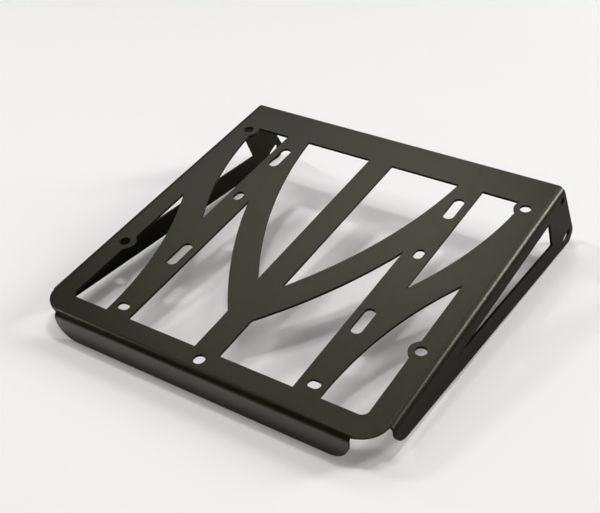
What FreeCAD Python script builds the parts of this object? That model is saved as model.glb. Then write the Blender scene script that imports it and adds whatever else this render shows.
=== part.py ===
import FreeCAD, Part
import os
import math
import Sketcher

# Motorcycle luggage rack
# One steel sheet, cut flat and then folded down along both sides and along the front.
# X runs to the right, Y to the rear and Z up, square to the plate.
# The origin is on the middle line, on the top face, level with the front edge of the front cut-outs.
# Lengths are in millimetres and angles in degrees.

# Driving sizes
SIZES = [
    # sheet and folds
    ("sheet", 2.0),
    ("bend_inside", 3.3),
    ("half_width", 139.8),
    ("front_strip", 20.0),
    ("plate_rear", 262.2),
    # lattice of the plate: strips and bars, and where the curved struts meet them
    ("stem_half", 9.9),
    ("bar_inner", 67.5),
    ("bar_width", 19.8),
    ("side_strip", 19.8),
    ("rear_strip", 30.7),
    ("fork_front_stem_y", 37.5),
    ("fork_front_bar_y", 145.2),
    ("fork_front_radius", 393.6),
    ("fork_rear_stem_y", 74.2),
    ("fork_rear_radius", 365.3),
    ("wing_front_side_y", 131.0),
    ("wing_front_radius", 280.0),
    ("wing_rear_bar_y", 110.9),
    ("wing_rear_inset", 0.25),
    ("wing_rear_radius", 288.8),
    ("wing_corner_radius", 5.0),
    # ears and holes of the plate
    ("ear_radius", 8.7),
    ("ear_inset", 15.8),
    ("ear_front_y", 63.8),
    ("ear_rear_inset", 5.5),
    ("bolt_hole", 8.4),
    ("centre_hole_y", 8.3),
    ("long_slot_front_y", 70.8),
    ("long_slot_rear_y", 203.4),
    ("long_slot_travel", 17.0),
    ("short_slot_width", 7.0),
    ("short_slot_shift", 1.0),
    ("short_slot_y", 147.0),
    ("short_slot_travel", 3.5),
    ("cross_slot_y", 8.2),
    ("cross_slot_travel", 2.4),
    # plate corners at the front
    ("corner_radius", 18.8),
    ("corner_side_inset", 3.6),
    ("corner_front_y", 16.8),
    # front flange
    ("front_flange_inset", 20.5),
    ("front_flange_depth", 22.3),
    ("front_flange_radius", 15.6),
    # side flanges
    ("side_flange_y", 0.9),
    ("side_flange_depth", 20.2),
    ("side_flange_radius", 18.0),
    ("tail_reach", 30.1),
    ("tail_depth", 68.8),
    ("tail_radius", 7.9),
    ("tail_shoulder", 3.1),
    # three-sided window in each side flange
    ("window_top", 16.3),
    ("window_front_y", 83.9),
    ("window_rear_inset", 26.4),
    ("window_low_inset", 17.6),
    ("window_strip", 17.4),
    ("window_radius", 2.8),
    # pivot hole and curved slot of the tail
    ("pivot_inset", 3.8),
    ("pivot_low", 10.9),
    ("pivot_hole", 6.6),
    ("arc_edge", 9.9),
    ("arc_width", 7.6),
    ("arc_first", 14.0),
    ("arc_last", 22.0),
]


class Size:
    """A length or angle with its value and its formula in the names of the sheet."""

    def __init__(self, text, value):
        self.text = text
        self.value = float(value)

    def join(self, sign, other, value):
        return Size("(%s %s %s)" % (self.text, sign, other.text), value)

    def __add__(self, other):
        other = size_of(other)
        return self.join("+", other, self.value + other.value)

    def __sub__(self, other):
        other = size_of(other)
        return self.join("-", other, self.value - other.value)

    def __mul__(self, other):
        other = size_of(other)
        return self.join("*", other, self.value * other.value)

    def __truediv__(self, other):
        other = size_of(other)
        return self.join("/", other, self.value / other.value)

    def __neg__(self):
        return Size("(0 - %s)" % self.text, -self.value)


def size_of(thing):
    if isinstance(thing, Size):
        return thing
    return Size(repr(float(thing)), thing)


doc = FreeCAD.newDocument("luggage_rack")
sheet = doc.addObject("Spreadsheet::Sheet", "Sizes")
for row, (alias, value) in enumerate(SIZES, start=1):
    sheet.set("A%d" % row, alias)
    sheet.set("B%d" % row, str(value))
    sheet.setAlias("B%d" % row, alias)
doc.recompute()
S = {alias: Size("Sizes." + alias, value) for alias, value in SIZES}

# Lengths that follow from the driving sizes
bend_outside = S["bend_inside"] + S["sheet"]
flat_half = S["half_width"] - bend_outside
flat_front = S["front_strip"] - bend_outside
inside_half = S["half_width"] - S["sheet"]
inside_front = S["front_strip"] - S["sheet"]
tail_y = S["plate_rear"] + S["tail_reach"]
stock_rear = tail_y + S["sheet"]
stock_low = S["tail_depth"] + S["sheet"]
side_inner = S["half_width"] - S["side_strip"]
bar_outer = S["bar_inner"] + S["bar_width"]
long_slot_x = S["bar_inner"] + S["bar_width"] / 2
short_slot_x = long_slot_x + S["short_slot_shift"]
cutout_rear = S["plate_rear"] - S["rear_strip"]
ear_x = S["half_width"] - S["ear_inset"]
ear_rear_y = cutout_rear - S["ear_rear_inset"]
corner_side_x = S["half_width"] - S["corner_side_inset"]
front_flange_half = S["half_width"] - S["front_flange_inset"]
window_rear_y = S["plate_rear"] - S["window_rear_inset"]
window_low_y = S["plate_rear"] - S["window_low_inset"]
flange_slope = (S["tail_depth"] - S["side_flange_depth"]) / (tail_y - S["side_flange_y"])
flange_low = S["side_flange_depth"] + flange_slope * (window_low_y - S["side_flange_y"])
window_low = flange_low - S["window_strip"]
pivot_y = S["plate_rear"] - S["pivot_inset"]
arc_radius = S["tail_depth"] - S["pivot_low"] - S["arc_edge"]
zero = size_of(0.0)

body = doc.addObject("PartDesign::Body", "luggage_rack")
body.Label = "luggage_rack"
planes = {feature.Role: feature for feature in body.Origin.OriginFeatures}


def new_sketch(name, plane, offset=None):
    """Sketch on an origin plane, moved along the normal of that plane by offset."""
    sketch = body.newObject("Sketcher::SketchObject", name)
    sketch.AttachmentSupport = [(planes[plane], "")]
    sketch.MapMode = "FlatFace"
    if offset is not None:
        sketch.AttachmentOffset = FreeCAD.Placement(
            FreeCAD.Vector(0, 0, offset.value), FreeCAD.Rotation()
        )
        sketch.setExpression(".AttachmentOffset.Base.z", offset.text)
    return sketch


def vector(x, y):
    return FreeCAD.Vector(x, y, 0)


def bind(sketch, *parts):
    """Constraint whose last part is a Size: the value starts it and the formula drives it."""
    size = parts[-1]
    number = sketch.addConstraint(Sketcher.Constraint(*parts[:-1], size.value))
    sketch.setExpression("Constraints[%d]" % number, size.text)


def place(sketch, item, end, x, y):
    """Puts a point of the sketch at x, y."""
    if x is zero:
        sketch.addConstraint(Sketcher.Constraint("PointOnObject", item, end, -2))
    else:
        bind(sketch, "DistanceX", -1, 1, item, end, x)
    if y is zero:
        sketch.addConstraint(Sketcher.Constraint("PointOnObject", item, end, -1))
    else:
        bind(sketch, "DistanceY", -1, 1, item, end, y)


def arc_between(first, last, radius, side):
    """Arc from first to last that bulges to the left (side 1) or to the right (side -1)."""
    chord = last - first
    half = chord.Length / 2.0
    rise = math.sqrt(max(radius * radius - half * half, 0.0))
    across = vector(-chord.y, chord.x)
    across.normalize()
    centre = (first + last) * 0.5 - across * (side * rise)
    start, stop = (last, first) if side > 0 else (first, last)
    turn_start = math.atan2(start.y - centre.y, start.x - centre.x)
    turn_stop = math.atan2(stop.y - centre.y, stop.x - centre.x)
    circle = Part.Circle(centre, FreeCAD.Vector(0, 0, 1), radius)
    ends = (2, 1) if side > 0 else (1, 2)
    return Part.ArcOfCircle(circle, turn_start, turn_stop), ends


def outline(sketch, corners):
    """Closed outline. A corner is (x, y) with, if wanted, {"round": r} for a rounded corner
    and {"radius": r, "side": 1 or -1} for an arc from this corner to the next one."""
    count = len(corners)
    points = [vector(c[0].value, c[1].value) for c in corners]
    options = [c[2] if len(c) > 2 else {} for c in corners]
    sides = []
    for i in range(count):
        first, last = points[i], points[(i + 1) % count]
        if "radius" in options[i]:
            arc, ends = arc_between(first, last, options[i]["radius"].value, options[i]["side"])
            item = sketch.addGeometry(arc, False)
            bind(sketch, "Radius", item, options[i]["radius"])
            sides.append((item, ends[0], ends[1]))
            continue
        step = last - first
        step.normalize()
        start, stop = FreeCAD.Vector(first), FreeCAD.Vector(last)
        if "round" in options[i]:
            start = first + step * setback(points, i, options[i]["round"].value)
        if "round" in options[(i + 1) % count]:
            stop = last - step * setback(points, (i + 1) % count, options[(i + 1) % count]["round"].value)
        item = sketch.addGeometry(Part.LineSegment(start, stop), False)
        sides.append((item, 1, 2))
    for i in range(count):
        before, after = sides[i - 1], sides[i]
        if "round" not in options[i]:
            sketch.addConstraint(
                Sketcher.Constraint("Coincident", before[0], before[2], after[0], after[1])
            )
            place(sketch, after[0], after[1], corners[i][0], corners[i][1])
            continue
        radius = options[i]["round"]
        corner = sketch.addGeometry(Part.Point(points[i]), True)
        sketch.addConstraint(Sketcher.Constraint("PointOnObject", corner, 1, before[0]))
        sketch.addConstraint(Sketcher.Constraint("PointOnObject", corner, 1, after[0]))
        place(sketch, corner, 1, corners[i][0], corners[i][1])
        back = points[i - 1] - points[i]
        ahead = points[(i + 1) % count] - points[i]
        back.normalize()
        ahead.normalize()
        reach = setback(points, i, radius.value)
        first = points[i] + back * reach
        last = points[i] + ahead * reach
        left = back.x * ahead.y - back.y * ahead.x
        arc, ends = arc_between(first, last, radius.value, -1 if left < 0 else 1)
        item = sketch.addGeometry(arc, False)
        sketch.addConstraint(Sketcher.Constraint("Tangent", before[0], before[2], item, ends[0]))
        sketch.addConstraint(Sketcher.Constraint("Tangent", item, ends[1], after[0], after[1]))
        bind(sketch, "Radius", item, radius)


def setback(points, i, radius):
    """Distance from a sharp corner to where its rounding starts."""
    back = points[i - 1] - points[i]
    ahead = points[(i + 1) % len(points)] - points[i]
    return radius / math.tan(back.getAngle(ahead) / 2.0)


def circle(sketch, x, y, diameter):
    item = sketch.addGeometry(
        Part.Circle(vector(x.value, y.value), FreeCAD.Vector(0, 0, 1), diameter.value / 2.0), False
    )
    place(sketch, item, 3, x, y)
    bind(sketch, "Diameter", item, diameter)


def slot(sketch, x, y, width, travel, turn):
    """Slot with round ends. Its end centres lie half of the travel from x, y, along X (turn 0)
    or along Y (turn 90)."""
    if turn == 0:
        centres = [(x + travel / 2, y), (x - travel / 2, y)]
    else:
        centres = [(x, y + travel / 2), (x, y - travel / 2)]
    half = width / 2
    up = FreeCAD.Vector(0, 0, 1)
    across = math.radians(turn + 90.0)
    reach = vector(half.value * math.cos(across), half.value * math.sin(across))
    far, near = [vector(c[0].value, c[1].value) for c in centres]
    cap_far = sketch.addGeometry(
        Part.ArcOfCircle(Part.Circle(far, up, half.value), across - math.pi, across), False)
    side_a = sketch.addGeometry(Part.LineSegment(far + reach, near + reach), False)
    cap_near = sketch.addGeometry(
        Part.ArcOfCircle(Part.Circle(near, up, half.value), across, across + math.pi), False)
    side_b = sketch.addGeometry(Part.LineSegment(near - reach, far - reach), False)
    sketch.addConstraint(Sketcher.Constraint("Tangent", cap_far, 2, side_a, 1))
    sketch.addConstraint(Sketcher.Constraint("Tangent", side_a, 2, cap_near, 1))
    sketch.addConstraint(Sketcher.Constraint("Tangent", cap_near, 2, side_b, 1))
    sketch.addConstraint(Sketcher.Constraint("Tangent", side_b, 2, cap_far, 1))
    for cap, centre in ((cap_far, centres[0]), (cap_near, centres[1])):
        place(sketch, cap, 3, centre[0], centre[1])
        bind(sketch, "Radius", cap, half)


def curved_slot(sketch, x, y, radius, width, first_angle, last_angle):
    """Slot along an arc about x, y. Its angles are measured rearwards from straight down."""
    up = FreeCAD.Vector(0, 0, 1)
    centre = vector(x.value, y.value)
    half = width / 2
    turns = [math.radians(a.value - 90.0) for a in (first_angle, last_angle)]
    ends = [centre + vector(radius.value * math.cos(a), radius.value * math.sin(a)) for a in turns]
    spokes = []
    for end, angle in zip(ends, (first_angle, last_angle)):
        spoke = sketch.addGeometry(Part.LineSegment(centre, end), True)
        spokes.append(spoke)
        place(sketch, spoke, 1, x, y)
        if len(spokes) == 1:
            bind(sketch, "Distance", spoke, 1, spoke, 2, radius)
        number = sketch.addConstraint(
            Sketcher.Constraint("Angle", spoke, math.radians(angle.value - 90.0))
        )
        sketch.setExpression("Constraints[%d]" % number, "(%s - 90) * 1 deg" % angle.text)
    outer = sketch.addGeometry(
        Part.ArcOfCircle(Part.Circle(centre, up, radius.value + half.value), turns[0], turns[1]), False)
    inner = sketch.addGeometry(
        Part.ArcOfCircle(Part.Circle(centre, up, radius.value - half.value), turns[0], turns[1]), False)
    front = sketch.addGeometry(
        Part.ArcOfCircle(Part.Circle(ends[0], up, half.value), turns[0] + math.pi, turns[0] + 2 * math.pi),
        False)
    rear = sketch.addGeometry(
        Part.ArcOfCircle(Part.Circle(ends[1], up, half.value), turns[1], turns[1] + math.pi), False)
    sketch.addConstraint(Sketcher.Constraint("Coincident", front, 3, spokes[0], 2))
    sketch.addConstraint(Sketcher.Constraint("Coincident", rear, 3, spokes[1], 2))
    sketch.addConstraint(Sketcher.Constraint("Coincident", outer, 3, spokes[0], 1))
    sketch.addConstraint(Sketcher.Constraint("Coincident", inner, 3, spokes[0], 1))
    sketch.addConstraint(Sketcher.Constraint("Tangent", outer, 2, rear, 1))
    sketch.addConstraint(Sketcher.Constraint("Tangent", rear, 2, inner, 2))
    sketch.addConstraint(Sketcher.Constraint("Tangent", inner, 1, front, 1))
    sketch.addConstraint(Sketcher.Constraint("Coincident", front, 2, outer, 1))
    bind(sketch, "Radius", rear, half)


def finish(feature, sign):
    """Recomputes and makes sure that the feature added (1) or removed (-1) metal."""
    before = finish.volume
    doc.recompute()
    after = body.Shape.Volume
    if not (after - before) * sign > 0.01:
        raise RuntimeError("%s changed the volume from %.2f to %.2f" % (feature.Name, before, after))
    finish.volume = after


finish.volume = 0.0


def pad(name, sketch, length, symmetric=False, reverse=False):
    feature = body.newObject("PartDesign::Pad", name)
    feature.Profile = sketch
    feature.SideType = "Symmetric" if symmetric else "One side"
    feature.Reversed = reverse
    feature.Length = length.value
    feature.setExpression("Length", length.text)
    finish(feature, 1)
    return feature


def pocket(name, sketch, length=None, symmetric=False, reverse=False):
    feature = body.newObject("PartDesign::Pocket", name)
    feature.Profile = sketch
    feature.SideType = "Symmetric" if symmetric else "One side"
    feature.Reversed = reverse
    if length is None:
        feature.Type = "ThroughAll"
    else:
        feature.Length = length.value
        feature.setExpression("Length", length.text)
    finish(feature, -1)
    return feature


def mirror(name, features, sign):
    """Repeats features on the other side of the middle plane."""
    feature = body.newObject("PartDesign::Mirrored", name)
    feature.Originals = features
    feature.MirrorPlane = (planes["YZ_Plane"], [""])
    body.Tip = feature
    finish(feature, sign)
    return feature


# Plate with its two side flanges: a channel section run from the front fold to the tail
channel = new_sketch("channel_section", "XZ_Plane", flat_front)
outline(channel, [
    (-flat_half, zero),
    (flat_half, zero, {"radius": bend_outside, "side": 1}),
    (S["half_width"], -bend_outside),
    (S["half_width"], -stock_low),
    (inside_half, -stock_low),
    (inside_half, -bend_outside, {"radius": S["bend_inside"], "side": -1}),
    (flat_half, -S["sheet"]),
    (-flat_half, -S["sheet"], {"radius": S["bend_inside"], "side": -1}),
    (-inside_half, -bend_outside),
    (-inside_half, -stock_low),
    (-S["half_width"], -stock_low),
    (-S["half_width"], -bend_outside, {"radius": bend_outside, "side": 1}),
])
pad("channel", channel, flat_front + stock_rear, reverse=True)

# Outline of the side flanges: tapered lower edge, round front end and raked tail
trim = new_sketch("side_flange_outline", "YZ_Plane")
outline(trim, [
    (-S["front_strip"], -bend_outside),
    (S["side_flange_y"], -bend_outside),
    (S["side_flange_y"], -S["side_flange_depth"], {"round": S["side_flange_radius"]}),
    (tail_y, -S["tail_depth"], {"round": S["tail_radius"]}),
    (S["plate_rear"], -S["tail_shoulder"]),
    (S["plate_rear"], S["sheet"]),
    (stock_rear + S["sheet"], S["sheet"]),
    (stock_rear + S["sheet"], -stock_low - S["sheet"]),
    (-S["front_strip"], -stock_low - S["sheet"]),
])
pocket("side_flange_trim", trim, symmetric=True)

# Window of the side flanges
window = new_sketch("side_window_outline", "YZ_Plane")
outline(window, [
    (S["window_front_y"], -S["window_top"]),
    (window_low_y, -window_low),
    (window_rear_y, -S["window_top"], {"round": S["window_radius"]}),
])
pocket("side_window", window, symmetric=True)

# Pivot hole of the tail and the curved slot that lies round it
tail = new_sketch("tail_holes", "YZ_Plane")
circle(tail, pivot_y, -S["pivot_low"], S["pivot_hole"])
curved_slot(
    tail, pivot_y, -S["pivot_low"], arc_radius, S["arc_width"], S["arc_first"], S["arc_last"]
)
pocket("tail_fixing", tail, symmetric=True)

# Front fold and front flange
front = new_sketch("front_section", "YZ_Plane")
outline(front, [
    (-flat_front, zero),
    (-flat_front, -S["sheet"], {"radius": S["bend_inside"], "side": -1}),
    (-inside_front, -bend_outside),
    (-inside_front, -S["front_flange_depth"]),
    (-S["front_strip"], -S["front_flange_depth"]),
    (-S["front_strip"], -bend_outside, {"radius": bend_outside, "side": 1}),
])
pad("front_flange", front, flat_half * 2, symmetric=True)

# Round lower corners of the front flange, cut from its front face inwards
end = new_sketch("front_flange_end", "XZ_Plane", S["front_strip"])
end_low = S["front_flange_depth"] + S["sheet"]
end_side = flat_half + S["sheet"]
end_inner = front_flange_half - S["front_flange_radius"] * 2
outline(end, [
    (front_flange_half, -bend_outside),
    (end_side, -bend_outside),
    (end_side, -end_low),
    (end_inner, -end_low),
    (end_inner, -S["front_flange_depth"]),
    (front_flange_half, -S["front_flange_depth"], {"round": S["front_flange_radius"]}),
])
end_cut = pocket("front_flange_trim", end, bend_outside)

# Round corner of the plate between the front flange and a side flange
corner = new_sketch("corner_outline", "XY_Plane")
corner_out = S["half_width"] + S["sheet"]
corner_front = S["front_strip"] + S["sheet"]
outline(corner, [
    (front_flange_half, -corner_front),
    (corner_out, -corner_front),
    (corner_out, S["side_flange_y"]),
    (corner_side_x, S["side_flange_y"], {"radius": S["corner_radius"], "side": 1}),
    (front_flange_half, -S["corner_front_y"]),
])
corner_cut = pocket("corner_trim", corner)

# Front cut-out between the stem and the bar: its curved edge is the front edge of the fork
fork_front = new_sketch("fork_front_outline", "XY_Plane")
outline(fork_front, [
    (S["stem_half"], zero),
    (S["bar_inner"], zero),
    (S["bar_inner"], S["fork_front_bar_y"], {"radius": S["fork_front_radius"], "side": 1}),
    (S["stem_half"], S["fork_front_stem_y"]),
])
fork_front_cut = pocket("fork_front", fork_front)

# Rear cut-out between the stem and the bar: its curved edge is the rear edge of the fork
fork_rear = new_sketch("fork_rear_outline", "XY_Plane")
outline(fork_rear, [
    (S["stem_half"], S["fork_rear_stem_y"], {"radius": S["fork_rear_radius"], "side": -1}),
    (S["bar_inner"], cutout_rear),
    (S["stem_half"], cutout_rear),
])
fork_rear_cut = pocket("fork_rear", fork_rear)

# Front cut-out between the bar and the side strip
wing_front = new_sketch("wing_front_outline", "XY_Plane")
outline(wing_front, [
    (bar_outer, zero),
    (side_inner, zero, {"round": S["wing_corner_radius"]}),
    (side_inner, S["wing_front_side_y"], {"radius": S["wing_front_radius"], "side": -1}),
])
wing_front_cut = pocket("wing_front", wing_front)

# Rear cut-out between the bar and the side strip
wing_rear = new_sketch("wing_rear_outline", "XY_Plane")
outline(wing_rear, [
    (bar_outer, S["wing_rear_bar_y"], {"radius": S["wing_rear_radius"], "side": -1}),
    (side_inner - S["wing_rear_inset"], cutout_rear),
    (bar_outer, cutout_rear),
])
wing_rear_cut = pocket("wing_rear", wing_rear)

# Ears that carry the side bolt holes into the cut-outs
ears = new_sketch("ear_outline", "XY_Plane")
circle(ears, ear_x, S["ear_front_y"], S["ear_radius"] * 2)
circle(ears, ear_x, ear_rear_y, S["ear_radius"] * 2)
ear_pad = pad("ears", ears, S["sheet"], reverse=True)

# Bolt holes of the ears, the long strap slots and the short slots of the bars
holes = new_sketch("side_holes", "XY_Plane")
circle(holes, ear_x, S["ear_front_y"], S["bolt_hole"])
circle(holes, ear_x, ear_rear_y, S["bolt_hole"])
slot(holes, long_slot_x, S["long_slot_front_y"], S["bolt_hole"], S["long_slot_travel"], 90)
slot(holes, long_slot_x, S["long_slot_rear_y"], S["bolt_hole"], S["long_slot_travel"], 90)
slot(holes, short_slot_x, S["short_slot_y"], S["short_slot_width"], S["short_slot_travel"], 90)
slot(holes, short_slot_x, S["cross_slot_y"], S["short_slot_width"], S["cross_slot_travel"], 0)
hole_cut = pocket("side_hole_set", holes)

# The same on the left
mirror("left_trim", [end_cut, corner_cut], -1)
mirror("left_cutouts", [fork_front_cut, fork_rear_cut, wing_front_cut, wing_rear_cut], -1)
mirror("left_ears", [ear_pad], 1)
mirror("left_holes", [hole_cut], -1)

# Bolt hole on the middle line
centre_hole = new_sketch("centre_hole", "XY_Plane")
circle(centre_hole, zero, -S["centre_hole_y"], S["bolt_hole"])
pocket("centre_bolt_hole", centre_hole)

doc.recompute()
for item in doc.Objects:
    if "Invalid" in item.State or "Error" in item.State:
        raise RuntimeError("%s is %s" % (item.Name, item.State))
shape = body.Shape
if shape.isNull() or not shape.isValid() or len(shape.Solids) != 1:
    raise RuntimeError("the rack is not one valid solid")
os.makedirs("parts", exist_ok=True)
shape.exportStep(os.path.join("parts", body.Label + ".step"))
print("volume %.1f mm3" % shape.Volume, "faces", len(shape.Faces), "box", shape.BoundBox)
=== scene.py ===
import math

import bpy
from mathutils import Matrix, Vector


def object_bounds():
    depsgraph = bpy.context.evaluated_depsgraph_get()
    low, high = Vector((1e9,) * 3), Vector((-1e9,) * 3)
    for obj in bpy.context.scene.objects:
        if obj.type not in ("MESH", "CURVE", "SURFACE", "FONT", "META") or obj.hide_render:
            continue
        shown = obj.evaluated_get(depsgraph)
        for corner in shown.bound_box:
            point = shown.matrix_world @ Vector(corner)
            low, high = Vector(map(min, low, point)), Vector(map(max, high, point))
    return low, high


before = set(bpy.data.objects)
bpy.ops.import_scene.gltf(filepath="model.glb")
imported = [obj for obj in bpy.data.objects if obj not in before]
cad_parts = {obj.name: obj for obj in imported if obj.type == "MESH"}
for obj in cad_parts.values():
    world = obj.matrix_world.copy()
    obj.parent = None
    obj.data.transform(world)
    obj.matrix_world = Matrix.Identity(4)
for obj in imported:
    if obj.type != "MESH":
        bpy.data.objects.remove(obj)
cad_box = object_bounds()

# Camera. It stands in front of the rack, to its right, and looks down on the plate as a person
# at a bench does. It is level with the floor, and so turned a little against the rack, which
# rests pitched on its front lip and its tails.
CAMERA_AIM = Vector((0.00395, 0.10726, 0.0))
CAMERA_DISTANCE = 0.74994
CAMERA_AZIMUTH = math.radians(37.577)
CAMERA_ELEVATION = math.radians(40.223)
CAMERA_TURN = math.radians(-7.381)
CAMERA_LENS = 63.023
SENSOR_WIDTH = 36.0
NEAREST_SEEN = 0.01
FURTHEST_SEEN = 30.0

camera_back = Vector((
    math.sin(CAMERA_AZIMUTH) * math.cos(CAMERA_ELEVATION),
    -math.cos(CAMERA_AZIMUTH) * math.cos(CAMERA_ELEVATION),
    math.sin(CAMERA_ELEVATION),
))
level_right = Vector((0.0, 0.0, 1.0)).cross(camera_back).normalized()
level_up = camera_back.cross(level_right)
camera_right = level_right * math.cos(CAMERA_TURN) + level_up * math.sin(CAMERA_TURN)
camera_up = camera_back.cross(camera_right)
camera_place = Matrix((camera_right, camera_up, camera_back)).transposed().to_4x4()
camera_place.translation = CAMERA_AIM + camera_back * CAMERA_DISTANCE

camera_data = bpy.data.cameras.new("camera")
camera_data.lens = CAMERA_LENS
camera_data.sensor_width = SENSOR_WIDTH
camera_data.clip_start = NEAREST_SEEN
camera_data.clip_end = FURTHEST_SEEN
camera = bpy.data.objects.new("camera", camera_data)
camera.matrix_world = camera_place
bpy.context.scene.collection.objects.link(camera)
bpy.context.scene.camera = camera
bpy.context.scene.view_settings.view_transform = "Standard"


# Rack. One steel sheet with its cut-outs, folded down at the front and along both sides, then
# powder coated all over in a dark olive with a fine, sandy grain. The coat runs round the cut
# edges, which are rounded by a hair.
class Maker:
    """Adds nodes to a material or world and wraps what comes out of them."""

    def __init__(self, owner):
        owner.use_nodes = True
        self.tree = owner.node_tree
        self.tree.nodes.clear()

    def node(self, kind, settings=None, inputs=None):
        made = self.tree.nodes.new(kind)
        for name, value in (settings or {}).items():
            setattr(made, name, value)
        for name, value in (inputs or {}).items():
            socket = made.inputs[name]
            if isinstance(value, Flow):
                self.tree.links.new(value.socket, socket)
            else:
                socket.default_value = value
        return made

    def flow(self, kind, settings=None, inputs=None, out=0):
        return Flow(self, self.node(kind, settings, inputs).outputs[out])

    def noise(self, place, size, detail):
        """Random dots of about this size."""
        return self.flow("ShaderNodeTexNoise", {"noise_dimensions": "3D"},
                         {"Vector": place, "Scale": 1.0 / size, "Detail": detail})

    def ramp(self, value, start, end, low=0.0, high=1.0, shape="LINEAR"):
        """Goes from low to high while the value goes from start to end."""
        return self.flow("ShaderNodeMapRange", {"interpolation_type": shape}, {
            "Value": value, "From Min": start, "From Max": end, "To Min": low, "To Max": high})

    def colour(self, factor, first, last):
        """The first colour where the factor is 0, and the last where it is 1."""
        made = self.node("ShaderNodeMix", {"data_type": "RGBA"})
        factor_in, first_in, last_in = (s for s in made.inputs if s.enabled)
        self.tree.links.new(factor.socket, factor_in)
        for value, socket in ((first, first_in), (last, last_in)):
            if isinstance(value, Flow):
                self.tree.links.new(value.socket, socket)
            else:
                socket.default_value = value
        return Flow(self, next(s for s in made.outputs if s.enabled))

    def end(self, kind, surface):
        """Hands the surface to the material's or the world's output."""
        self.tree.links.new(surface.outputs[0], self.node(kind).inputs["Surface"])


class Flow:
    """A value that varies over the surface, with + - * written as in ordinary sums."""

    def __init__(self, maker, socket):
        self.maker = maker
        self.socket = socket

    def sum(self, operation, first, last):
        return self.maker.flow("ShaderNodeMath", {"operation": operation}, {0: first, 1: last})

    def __add__(self, other):
        return self.sum("ADD", self, other)

    def __radd__(self, other):
        return self.sum("ADD", other, self)

    def __sub__(self, other):
        return self.sum("SUBTRACT", self, other)

    def __rsub__(self, other):
        return self.sum("SUBTRACT", other, self)

    def __mul__(self, other):
        return self.sum("MULTIPLY", self, other)

    def __rmul__(self, other):
        return self.sum("MULTIPLY", other, self)


COAT_COLOUR = (0.0040, 0.0038, 0.0016, 1.0)
COAT_LIGHTER = (0.0120, 0.0115, 0.0055, 1.0)
COAT_SHEEN_TINT = (1.0, 0.975, 0.775, 1.0)
COAT_ROUGHNESS = 0.32
COAT_IOR = 1.45
COAT_GLOSS = 0.41
# Coarse and fine grain together raise the bump. The specks are the tops of the grain, and the
# mottle is a wide, faint change over the sheet. Both make the coat lighter and rougher.
GRAIN_SIZE = 0.0013
GRAIN_DETAIL = 1.0
FINE_GRAIN_SIZE = 0.0007
FINE_GRAIN_DETAIL = 0.0
COARSE_SHARE = 0.6
GRAIN_HEIGHT = 0.00013
SPECK_FOOT = 0.36
SPECK_TOP = 0.64
MOTTLE_SIZE = 0.035
MOTTLE_DETAIL = 3.0
SPECK_SHARE = 0.6
ROUGHNESS_SPREAD = 0.06
# The coat shines a little more on the face of the front lip, as if a thin glaze lay on it.
GLAZE_ROUGHNESS = 0.30
GLAZE_IOR = 1.6
GLAZE_START_Y = -0.0194
GLAZE_FULL_Y = -0.01995

coat = bpy.data.materials.new("coat")
maker = Maker(coat)
place = maker.flow("ShaderNodeTexCoord", out="Object")
grain = maker.noise(place, GRAIN_SIZE, GRAIN_DETAIL)
fine = maker.noise(place, FINE_GRAIN_SIZE, FINE_GRAIN_DETAIL)
mottle = maker.noise(place, MOTTLE_SIZE, MOTTLE_DETAIL)
height = grain * COARSE_SHARE + fine * (1.0 - COARSE_SHARE)
speck = maker.ramp(height, SPECK_FOOT, SPECK_TOP)
bump = maker.flow("ShaderNodeBump", None, {
    "Height": height, "Distance": GRAIN_HEIGHT, "Strength": 1.0})
along = maker.flow("ShaderNodeSeparateXYZ", None, {"Vector": place}, out="Y")
surface = maker.node("ShaderNodeBsdfPrincipled", None, {
    "Base Color": maker.colour(speck * SPECK_SHARE + mottle * (1.0 - SPECK_SHARE),
                               COAT_COLOUR, COAT_LIGHTER),
    "Roughness": (COAT_ROUGHNESS + (mottle - 0.5) * ROUGHNESS_SPREAD
                  + (speck - 0.5) * ROUGHNESS_SPREAD),
    "IOR": COAT_IOR,
    "Specular IOR Level": COAT_GLOSS,
    "Specular Tint": COAT_SHEEN_TINT,
    "Coat Weight": maker.ramp(along, GLAZE_FULL_Y, GLAZE_START_Y, 1.0, 0.0, "SMOOTHSTEP"),
    "Coat Roughness": GLAZE_ROUGHNESS,
    "Coat IOR": GLAZE_IOR,
    "Normal": bump,
})
maker.end("ShaderNodeOutputMaterial", surface)

# The sheet's triangles become whole faces, and then its cut edges are rounded. The narrowest
# place holds the rounding back on all of them.
SAME_POINT = 0.00001
SAME_FACE = math.radians(0.5)
CUT_EDGE = math.radians(40.0)
EDGE_ROUNDING = 0.00015
EDGE_STEPS = 2
FULL_FACE_WEIGHT = 100

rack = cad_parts["luggage_rack"]
rack.data.materials.clear()
rack.data.materials.append(coat)
for face in rack.data.polygons:
    face.use_smooth = True
weld = rack.modifiers.new("weld", "WELD")
weld.merge_threshold = SAME_POINT
flats = rack.modifiers.new("flats", "DECIMATE")
flats.decimate_type = "DISSOLVE"
flats.angle_limit = SAME_FACE
edges = rack.modifiers.new("edges", "BEVEL")
edges.width = EDGE_ROUNDING
edges.segments = EDGE_STEPS
edges.limit_method = "ANGLE"
edges.angle_limit = CUT_EDGE
normals = rack.modifiers.new("normals", "WEIGHTED_NORMAL")
normals.mode = "FACE_AREA"
normals.weight = FULL_FACE_WEIGHT
normals.keep_sharp = False

# Floor. A pale, matt studio surface that runs out of sight. It isn't part of the rack. It lies
# where the rack comes to rest: against the lower edge of the front lip and the round bottoms of
# the two tails.
FLOOR_HALF = 6.0
LIP_BAND = 0.001

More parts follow.
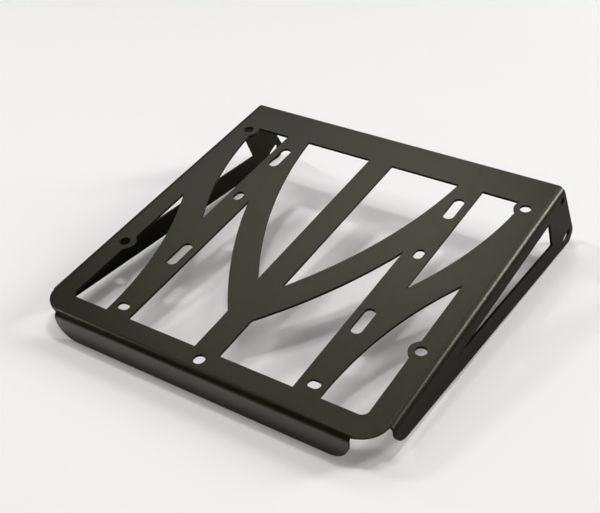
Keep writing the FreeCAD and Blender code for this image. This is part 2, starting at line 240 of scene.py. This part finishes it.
# The floor passes through the lowest point of the lip, and is pitched until nothing behind it
# reaches lower.
points = [v.co for v in rack.data.vertices]
front_y = min(p.y for p in points)
lip = min((p for p in points if p.y < front_y + LIP_BAND), key=lambda p: p.z)
pitch = min(math.atan2(p.z - lip.z, p.y - lip.y) for p in points if p.y > lip.y + LIP_BAND)
floor_turn = Matrix.Rotation(pitch, 4, "X")
corners = [(-FLOOR_HALF, -FLOOR_HALF, 0), (FLOOR_HALF, -FLOOR_HALF, 0),
           (FLOOR_HALF, FLOOR_HALF, 0), (-FLOOR_HALF, FLOOR_HALF, 0)]
floor_mesh = bpy.data.meshes.new("floor")
floor_mesh.from_pydata([Vector((0, lip.y, lip.z)) + floor_turn @ Vector(c) for c in corners],
                       [], [(0, 1, 2, 3)])
floor = bpy.data.objects.new("floor", floor_mesh)
bpy.context.scene.collection.objects.link(floor)

# The rack sees a white card before its lip, which lifts the face of the lip. Elsewhere it sees
# painted shade: a dark floor that the camera never sees, which darkens the flanges, cut walls
# and underside where they reflect it. The camera sees one white surface, which glows a little
# before the rack, and which takes the room's tone far away. From below the camera looks through
# it.
CARD_COLOUR = (0.82, 0.82, 0.815, 1.0)
# Painted shade: the floor as the rack sees it behind the lip, far darker than the camera sees
# it.
PAINTED_SHADE_COLOUR = (0.20, 0.199, 0.196, 1.0)
CARD_EDGE_Y = -0.04
PAINTED_SHADE_EDGE_Y = 0.02
SEEN_COLOUR = (0.868, 0.871, 0.896, 1.0)
MATT_ROUGHNESS = 0.9
GLOW_COLOUR = (1.0, 0.965, 0.89, 1.0)
GLOW_FRONT = 0.16
GLOW_FRONT_Y = -0.20
GLOW_REAR = 0.0
GLOW_REAR_Y = 0.64
ROOM_COLOUR = (1.0, 0.99, 0.975, 1.0)
ROOM_SEEN_STRENGTH = 0.87
FAR_START = 0.90
FAR_FULL = 3.5

middle = (Vector(cad_box[0]) + Vector(cad_box[1])) / 2
paper = bpy.data.materials.new("paper")
maker = Maker(paper)
place = maker.flow("ShaderNodeTexCoord", out="Object")
along = maker.flow("ShaderNodeSeparateXYZ", None, {"Vector": place}, out="Y")
seen = maker.flow("ShaderNodeLightPath", out="Is Camera Ray")
# What the rack sees of the floor: the card before the lip, and painted shade behind it.
card_and_painted_shade = maker.colour(maker.ramp(along, CARD_EDGE_Y, PAINTED_SHADE_EDGE_Y, shape="SMOOTHSTEP"),
                     CARD_COLOUR, PAINTED_SHADE_COLOUR)
away = maker.flow("ShaderNodeVectorMath", {"operation": "DISTANCE"},
                  {0: place, 1: middle}, out="Value")
far = maker.ramp(away, FAR_START, FAR_FULL, shape="SMOOTHSTEP")
glow = maker.ramp(along, GLOW_FRONT_Y, GLOW_REAR_Y, GLOW_FRONT, GLOW_REAR)
matt = maker.node("ShaderNodeBsdfPrincipled", None, {
    "Base Color": maker.colour(seen, card_and_painted_shade, SEEN_COLOUR),
    "Roughness": MATT_ROUGHNESS,
    "Specular IOR Level": 0.0,
    "Emission Color": maker.colour(far, GLOW_COLOUR, ROOM_COLOUR),
    "Emission Strength": seen * (glow + far * ROOM_SEEN_STRENGTH),
})
below = maker.flow("ShaderNodeNewGeometry", out="Backfacing")
sheet = maker.node("ShaderNodeMixShader", None, {
    "Fac": below * seen,
    1: Flow(maker, matt.outputs[0]),
    2: maker.flow("ShaderNodeBsdfTransparent"),
})
maker.end("ShaderNodeOutputMaterial", sheet)
floor_mesh.materials.append(paper)

# Light. Three small boxes overhead throw the shadows on the floor. Wider ones stand behind the
# rack, at its left and, strongest, at its right, where they light the fold. The box before it
# and the room are weak, so that the fold of the lip reads as a dark line.
ROOM_STRENGTH = 0.02
BOX_DISTANCE = 2.4
BOX_COLOUR = (1.0, 0.985, 0.95)

world = bpy.data.worlds.new("room")
bpy.context.scene.world = world
maker = Maker(world)
seen = maker.flow("ShaderNodeLightPath", out="Is Camera Ray")
maker.end("ShaderNodeOutputWorld", maker.node("ShaderNodeBackground", None, {
    "Color": ROOM_COLOUR,
    "Strength": ROOM_STRENGTH + seen * (ROOM_SEEN_STRENGTH - ROOM_STRENGTH),
}))


def soft_box(name, bearing, tilt, width, height, level):
    """A lamp that faces the rack. The bearing is counted along the floor from the rack's right
    to its rear, and the tilt from straight above the floor, both in degrees. The level is how
    bright it alone makes a white card that faces it."""
    turn = math.radians(bearing)
    lean = math.radians(tilt)
    direction = floor_turn.to_3x3() @ Vector((
        math.sin(lean) * math.cos(turn), math.sin(lean) * math.sin(turn), math.cos(lean)))
    data = bpy.data.lights.new(name, "AREA")
    data.shape = "RECTANGLE"
    data.size = width
    data.size_y = height
    data.color = BOX_COLOUR
    data.energy = level * (math.pi * BOX_DISTANCE) ** 2
    lamp = bpy.data.objects.new(name, data)
    lamp.location = middle + direction * BOX_DISTANCE
    lamp.rotation_euler = direction.to_track_quat("Z", "Y").to_euler()
    bpy.context.scene.collection.objects.link(lamp)


soft_box("top_right_box", 57.0, 10.0, 0.25, 0.25, 0.200)
soft_box("top_rear_box", 122.0, 11.0, 0.25, 0.25, 0.055)
soft_box("top_left_box", 186.0, 12.0, 0.25, 0.25, 0.105)
soft_box("rear_box", 138.0, 44.0, 0.80, 0.80, 0.066)
soft_box("rear_right_box", 116.0, 43.0, 0.50, 0.40, 0.053)
soft_box("right_high_box", 76.0, 40.0, 1.00, 0.50, 0.110)
soft_box("right_box", 46.0, 64.0, 0.42, 1.00, 0.540)
soft_box("left_box", 191.0, 50.0, 0.25, 0.30, 0.165)
soft_box("left_low_box", 177.0, 62.0, 0.25, 0.30, 0.060)
soft_box("left_front_box", 215.0, 66.0, 0.25, 0.30, 0.025)
soft_box("front_box", 312.0, 68.0, 0.90, 1.10, 0.060)
